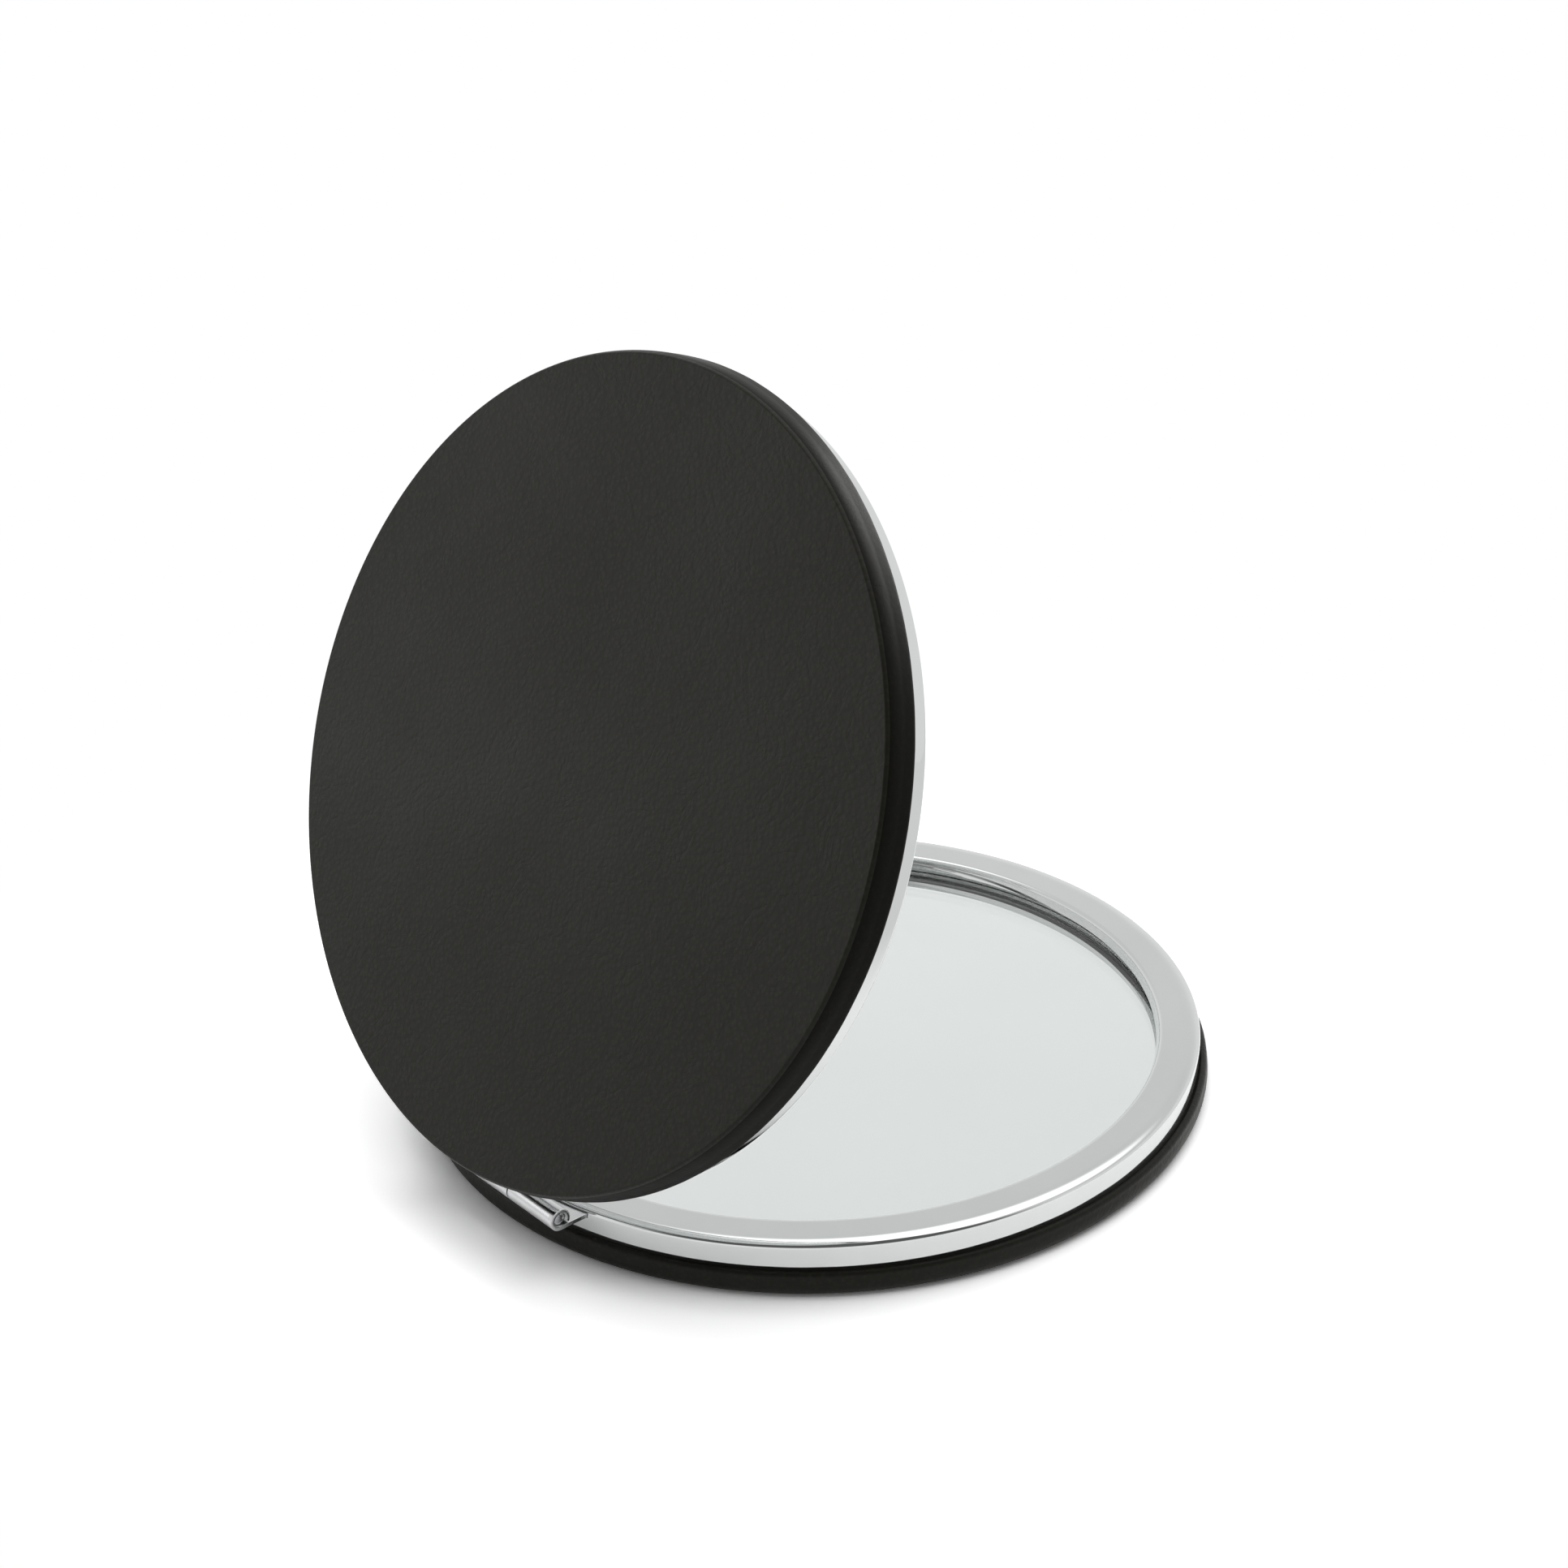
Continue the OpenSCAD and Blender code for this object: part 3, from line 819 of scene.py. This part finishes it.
def cut_slots(piece, half, sizes):
    """Cuts a slot in the ring's wall for each tongue of the hinge leaf."""
    low, high = sizes.leaf_low - sizes.slot_slack, sizes.leaf_low + sizes.leaf + sizes.slot_slack
    back, below_face = 0.9 * sizes.ring_radius, sizes.ring_top - 0.2 * MM

    def wall(place):
        return place.y > back and low - MERGE < place.z < below_face

    pick(piece)
    bpy.ops.object.mode_set(mode="EDIT")
    spans = [(a - sizes.slot_slack, b + sizes.slot_slack) for a, b in curls_of(half, sizes)]
    for x in [edge for span in spans for edge in span]:
        select_where(piece, "FACE", wall)
        bpy.ops.mesh.bisect(plane_co=(x, 0, 0), plane_no=(1, 0, 0), threshold=CUT)
    select_where(piece, "FACE", wall)
    bpy.ops.mesh.bisect(plane_co=(0, 0, high), plane_no=(0, 0, 1), threshold=CUT)
    select_where(
        piece, "FACE",
        lambda place: wall(place) and low < place.z < high and any(a < place.x < b for a, b in spans),
    )
    bpy.ops.mesh.delete(type="FACE")
    bpy.ops.object.mode_set(mode="OBJECT")


class COMPACT_OT_chrome_rings(bpy.types.Operator):
    """Stamped chrome rings with a slot at the back for the hinge leaf's tongues"""

    bl_idname = "compact.chrome_rings"
    bl_label = "Chrome rings"

    def execute(self, context):
        sizes = context.scene.compact_sizes
        for half in HALVES:
            piece = turned(f"{half}_ring", ring_profile(sizes), sizes.steps)
            cut_slots(piece, half, sizes)
            apply_modifier(piece, "SOLIDIFY", thickness=sizes.sheet, offset=-1.0, use_even_offset=True)
            smooth(piece)
            settle(piece, half, f"{half}_frame", "chrome", chrome_finish(f"{half}_chrome_plate", half))
        return {"FINISHED"}


class COMPACT_OT_hinge_leaves(bpy.types.Operator):
    """Hinge leaves: a plate under each ring's face, with tongues curled round the pin"""

    bl_idname = "compact.hinge_leaves"
    bl_label = "Hinge leaves"

    def execute(self, context):
        sizes, shade = context.scene.compact_sizes, context.scene.compact_finishes.steel
        for half in HALVES:
            piece = self.sheet(f"{half}_leaf", half, sizes)
            apply_modifier(piece, "SOLIDIFY", thickness=sizes.leaf, offset=-1.0, use_even_offset=True)
            apply_modifier(
                piece, "BEVEL", width=0.04 * MM, segments=2, limit_method="ANGLE",
                angle_limit=math.radians(60), use_clamp_overlap=False,
            )
            smooth(piece)
            settle(piece, half, f"{half}_hinge_leaf", "hinge_steel", steel_finish(f"{half}_leaf_steel", shade))
        return {"FINISHED"}

    @staticmethod
    def sheet(name, half, sizes):
        """The leaf's outer surface: an arc-shaped plate, drawn out to the hinge and curled round it."""
        end, spare, curl = sizes.barrel / 2, math.radians(1), math.radians(300)
        reach = math.asin(end / sizes.leaf_inner) + spare
        ray = Vector((math.sin(reach), math.cos(reach), 0))
        lift = Vector((0, 0, sizes.leaf_low))
        piece = trace(name, [ray * radius + lift for radius in (sizes.leaf_inner, sizes.leaf_outer)])
        spin_all(24, -2 * reach)
        cuts = sorted({x for span in curls_of(half, sizes) for x in span} | {-end, end})
        for x in cuts:
            bpy.ops.mesh.select_all(action="SELECT")
            bpy.ops.mesh.bisect(
                plane_co=(x, 0, 0), plane_no=(1, 0, 0), threshold=CUT,
                clear_inner=x == -end, clear_outer=x == end,
            )
        for start, stop in curls_of(half, sizes):
            select_where(
                piece, "EDGE",
                lambda place: place.xy.length > sizes.leaf_outer - HAIR and start - HAIR < place.x < stop + HAIR,
            )
            bpy.ops.mesh.extrude_region_move(TRANSFORM_OT_translate={"value": (0, MM, 0)})
            bpy.ops.transform.resize(value=(1, 0, 1), center_override=(0, HINGE.y, 0))
        select_where(piece, "EDGE", lambda place: abs(place.y - HINGE.y) < HAIR)
        bpy.ops.mesh.spin(steps=32, angle=curl, center=HINGE, axis=(-1, 0, 0))
        heal()
        bpy.ops.object.mode_set(mode="OBJECT")
        return piece


class COMPACT_OT_hinge_pin(bpy.types.Operator):
    """Hinge pin with chamfered ends"""

    bl_idname = "compact.hinge_pin"
    bl_label = "Hinge pin"

    def execute(self, context):
        sizes, shade = context.scene.compact_sizes, context.scene.compact_finishes.steel
        clear_selection()
        bpy.ops.mesh.primitive_cylinder_add(
            vertices=64, radius=sizes.pin_radius, depth=2 * sizes.pin_half, location=HINGE,
            rotation=(0, math.pi / 2, 0),
        )
        piece = named("pin")
        bpy.ops.object.transform_apply(location=True, rotation=True)
        bpy.ops.object.mode_set(mode="EDIT")
        select_where(piece, "FACE", lambda place: abs(place.x) > sizes.pin_half - MERGE)
        bpy.ops.mesh.bevel(offset=0.12 * MM, segments=3, affect="EDGES")
        bpy.ops.object.mode_set(mode="OBJECT")
        smooth(piece, 40.0)
        settle(piece, BASE, "hinge_pin", "hinge_steel", steel_finish("pin_steel", shade))
        return {"FINISHED"}


class COMPACT_OT_hidden_parts(bpy.types.Operator):
    """Finishes for the trays and magnets, which keep their CAD shapes"""

    bl_idname = "compact.hidden_parts"
    bl_label = "Trays and magnets"

    def execute(self, context):
        colours = context.scene.compact_finishes
        plastic = plastic_finish("tray_plastic", colours.tray)
        nickel = steel_finish("magnet_nickel", colours.magnet)
        for half in HALVES:
            for node, finish in ((f"{half}_tray", plastic), (f"{half}_magnet", nickel)):
                slots = frame["nodes"][node].data.materials
                slots.clear()
                slots.append(finish)
        return {"FINISHED"}


# ---------------------------------------------------------------- studio


def studio_sky(studio):
    """White to the camera, near white in metal and glass, and softer as light on the object."""
    world = bpy.data.worlds.new("studio_sky")
    bpy.context.scene.world = world
    sky = Nodes(world, "ShaderNodeOutputWorld")
    path = sky.add("ShaderNodeLightPath").outputs
    shiny = sky.maths("MAXIMUM", path["Is Glossy Ray"], path["Is Transmission Ray"])
    place = sky.add("ShaderNodeTexCoord").outputs["Object"]
    height = sky.add("ShaderNodeSeparateXYZ", Vector=place).outputs["Z"]
    rise = sky.ramp(height, low=0.38, high=0.58, start=studio.sky_low, end=studio.sky_high)
    in_metal = sky.add("ShaderNodeMix", data_type="FLOAT", Factor=shiny, A=studio.sky, B=rise).outputs["Result"]
    strength = sky.add("ShaderNodeMix", data_type="FLOAT", Factor=path["Is Camera Ray"], A=in_metal, B=1.0)
    white = sky.add("ShaderNodeBackground", Color=(1, 1, 1, 1), Strength=strength.outputs["Result"])
    sky.feed(sky.surface, white.outputs["Background"])


def floor_finish(shade, studio):
    """Pale matt floor that keeps the shadow near the mirror, and is the plain background further off."""
    floor = Finish("studio_floor", Roughness=0.9, Specular_IOR_Level=0.0)
    plain = floor.mix(floor.ramp(floor.noise(30.0, 2.0), 0.3, 0.7), [c * 0.998 for c in shade], shade)
    path = floor.add("ShaderNodeLightPath").outputs
    shiny = floor.maths("MAXIMUM", path["Is Glossy Ray"], path["Is Transmission Ray"])
    direct = floor.maths("MAXIMUM", shiny, path["Is Camera Ray"])
    gain = floor.mix(path["Is Camera Ray"], [studio.floor_metal] * 3, [studio.floor_gain] * 3)
    floor.give("Base Color", floor.mix(direct, plain, gain))
    reach = floor.vectors("LENGTH", floor.place, output=1)
    far = floor.ramp(reach, studio.floor_near, studio.floor_far)
    far.node.interpolation_type = "SMOOTHSTEP"
    strength = floor.ramp(path["Is Camera Ray"], 0.0, 1.0, studio.floor_white, 1.0)
    glow = floor.add("ShaderNodeEmission", Strength=strength).outputs[0]
    floor.blend(floor.maths("MULTIPLY", far, direct), floor.shader.outputs[0], glow)
    return floor.material


def room_finish(name, strength):
    """What metal and glass see of the room and the lamps: a plain glow that can fade out."""
    room = Finish(name)
    gone = room.add("ShaderNodeAttribute", attribute_name="gone").outputs["Fac"]
    glow = room.add("ShaderNodeEmission", Strength=strength).outputs[0]
    room.blend(gone, glow, room.add("ShaderNodeBsdfTransparent").outputs[0])
    return room.material


def aim(place):
    """The rotation that points a lamp or a card from its place at the origin."""
    return (-Vector(place)).to_track_quat("-Z", "Y").to_euler()


class COMPACT_OT_studio(bpy.types.Operator):
    """Pale floor, soft light, the dark room behind the camera, and the photograph's camera"""

    bl_idname = "compact.studio"
    bl_label = "Studio"

    def execute(self, context):
        studio = context.scene.compact_studio
        context.scene.view_settings.view_transform = "Standard"
        studio_sky(studio)
        self.floor(floor_finish(context.scene.compact_finishes.floor, studio))
        self.camera(context, studio)
        key = self.lamp("key_light", place=(0.0, -0.08, 0.93), size=1.4, power=studio.key_power)
        key.visible_glossy = False
        self.card("key_card", place=(0.06, -0.24, 0.9), radius=0.64, strength=studio.key_glow)
        self.lamp("side_light", place=(0.66, 0.462, 0.145), size=0.25, power=studio.side_power)
        self.light_only("base_leather", "lid_leather", "base_leaf", "lid_leaf", "pin")
        self.lamp("edge_light", place=(0.05, -0.567, 0.19), size=0.36, power=studio.edge_power)
        self.light_only("lid_leather")
        towards = math.atan2(-math.cos(studio.azimuth), math.sin(studio.azimuth))
        sides = (towards - studio.room_left, towards + studio.room_right)
        heights = (studio.room_low, studio.room_top)
        self.dark_room(radius=0.9, sides=sides, heights=heights, fades=(24, 22, 4, 9), strength=studio.room)
        return {"FINISHED"}

    @staticmethod
    def floor(finish):
        """A plane far wider than the view."""
        clear_selection()
        bpy.ops.mesh.primitive_plane_add(size=6.0, location=(0, 0, 0))
        floor = named("floor")
        floor.data.materials.append(finish)

    @staticmethod
    def camera(context, studio):
        """The camera that was fitted to the photograph."""
        a, e = studio.azimuth, studio.elevation
        back = Vector((math.sin(a) * math.cos(e), -math.cos(a) * math.cos(e), math.sin(e)))
        right = Vector((0, 0, 1)).cross(back).normalized()
        up = back.cross(right)
        clear_selection()
        bpy.ops.object.camera_add()
        camera = context.object
        camera.name = "photo_camera"
        axes = Matrix((right, up, back)).transposed().to_4x4()
        place = right * studio.aim_right + up * studio.aim_up + back * studio.distance
        camera.matrix_world = Matrix.Translation(place) @ axes @ Matrix.Rotation(studio.roll, 4, "Z")
        camera.data.lens = studio.lens
        camera.data.sensor_width = 36.0
        camera.data.clip_start, camera.data.clip_end = 0.01, 20.0
        context.scene.camera = camera

    @staticmethod
    def lamp(name, place, size, power):
        """A round lamp that shines on the origin."""
        clear_selection()
        bpy.ops.object.light_add(type="AREA", location=place, rotation=aim(place))
        lamp = named(name)
        lamp.data.shape = "DISK"
        lamp.data.size = size
        lamp.data.energy = power
        lamp.visible_camera = False
        return lamp

    @staticmethod
    def light_only(*names):
        """Lets the lamp just made light these pieces only, so that it puts no glare on the rings."""
        for name in names:
            bpy.data.objects[name].select_set(True)
        bpy.ops.object.light_linking_receivers_link(link_state="INCLUDE")

    def card(self, name, place, radius, strength):
        """What metal sees instead of a lamp: a bright disc that fades over the outer part of its radius."""
        border = 0.3 * radius
        clear_selection()
        bpy.ops.mesh.primitive_circle_add(
            vertices=64, radius=radius, fill_type="TRIFAN", location=place, rotation=aim(place)
        )
        card = named(name)
        bpy.ops.object.mode_set(mode="EDIT")
        bpy.ops.mesh.select_all(action="SELECT")
        bpy.ops.mesh.subdivide(number_cuts=9)
        bpy.ops.object.mode_set(mode="OBJECT")
        self.glow(card, [[(radius - vertex.co.length) / border] for vertex in card.data.vertices], strength)

    def dark_room(self, radius, sides, heights, fades, strength):
        """Part of a sphere; fades are the degrees of its soft borders: right, left, low and high."""
        columns, rows = 40, 24
        (left, right), (low, high) = sides, heights
        middle, half_width = (left + right) / 2, (right - left) / 2
        x, y = math.cos(right), math.sin(right)
        rises = [low + (high - low) * i / rows for i in range(rows + 1)]
        room = trace("dark_room", [
            radius * Vector((x * math.cos(rise), y * math.cos(rise), math.sin(rise))) for rise in rises
        ])
        spin_all(columns, right - left)
        bpy.ops.object.mode_set(mode="OBJECT")
        insides = []
        for vertex in room.data.vertices:
            off = math.atan2(vertex.co.y, vertex.co.x) - middle
            off = math.atan2(math.sin(off), math.cos(off))
            rise = math.asin(min(1.0, vertex.co.z / radius))
            borders = (half_width - off, half_width + off, rise - low, high - rise)
            insides.append([border / math.radians(fade) for border, fade in zip(borders, fades)])
        self.glow(room, insides, strength)

    @staticmethod
    def glow(piece, insides, strength):
        """Makes a piece a glow that only metal and glass see, gone where one of its inside shares is 0."""
        gone = piece.data.attributes.new("gone", "FLOAT", "POINT")
        shares = [[min(1.0, max(0.0, share)) for share in inside] for inside in insides]
        gone.data.foreach_set("value", [1 - math.prod(s * s * (3 - 2 * s) for s in inside) for inside in shares])
        piece.data.materials.append(room_finish(f"{piece.name}_glow", strength))
        piece.visible_camera = piece.visible_diffuse = piece.visible_shadow = False
        piece.visible_volume_scatter = False


class COMPACT_PT_panel(bpy.types.Panel):
    """Lists the mirror's pieces, sizes, colours and studio"""

    bl_idname = "COMPACT_PT_panel"
    bl_label = "Compact Mirror"
    bl_space_type = "VIEW_3D"
    bl_region_type = "UI"
    bl_category = "Compact Mirror"

    def draw(self, context):
        for operator in OPERATORS:
            self.layout.operator(operator.bl_idname)
        for title, group in (
            ("Sizes", context.scene.compact_sizes),
            ("Colours", context.scene.compact_finishes),
            ("Studio", context.scene.compact_studio),
        ):
            box = self.layout.box()
            box.label(text=title)
            for key in group.__annotations__:
                box.prop(group, key)


OPERATORS = (
    COMPACT_OT_leather_covers,
    COMPACT_OT_foam_pads,
    COMPACT_OT_mirror_tapes,
    COMPACT_OT_mirror_backings,
    COMPACT_OT_mirror_glasses,
    COMPACT_OT_chrome_rings,
    COMPACT_OT_hinge_leaves,
    COMPACT_OT_hinge_pin,
    COMPACT_OT_hidden_parts,
    COMPACT_OT_studio,
)
GROUPS = (
    ("compact_sizes", CompactSizes),
    ("compact_finishes", CompactFinishes),
    ("compact_studio", StudioSettings),
)


def register():
    """Registers the settings, the operators and the panel."""
    for name, group in GROUPS:
        bpy.utils.register_class(group)
        setattr(bpy.types.Scene, name, PointerProperty(type=group))
    for operator in OPERATORS:
        bpy.utils.register_class(operator)
    bpy.utils.register_class(COMPACT_PT_panel)


def unregister():
    """Takes them all away again."""
    bpy.utils.unregister_class(COMPACT_PT_panel)
    for operator in reversed(OPERATORS):
        bpy.utils.unregister_class(operator)
    for name, group in reversed(GROUPS):
        delattr(bpy.types.Scene, name)
        bpy.utils.unregister_class(group)


def main():
    """Builds every piece and the studio."""
    register()
    bpy.ops.compact.leather_covers()
    bpy.ops.compact.foam_pads()
    bpy.ops.compact.mirror_tapes()
    bpy.ops.compact.mirror_backings()
    bpy.ops.compact.mirror_glasses()
    bpy.ops.compact.chrome_rings()
    bpy.ops.compact.hinge_leaves()
    bpy.ops.compact.hinge_pin()
    bpy.ops.compact.hidden_parts()
    bpy.ops.compact.studio()
    clear_selection()


if __name__ == "__main__":
    main()
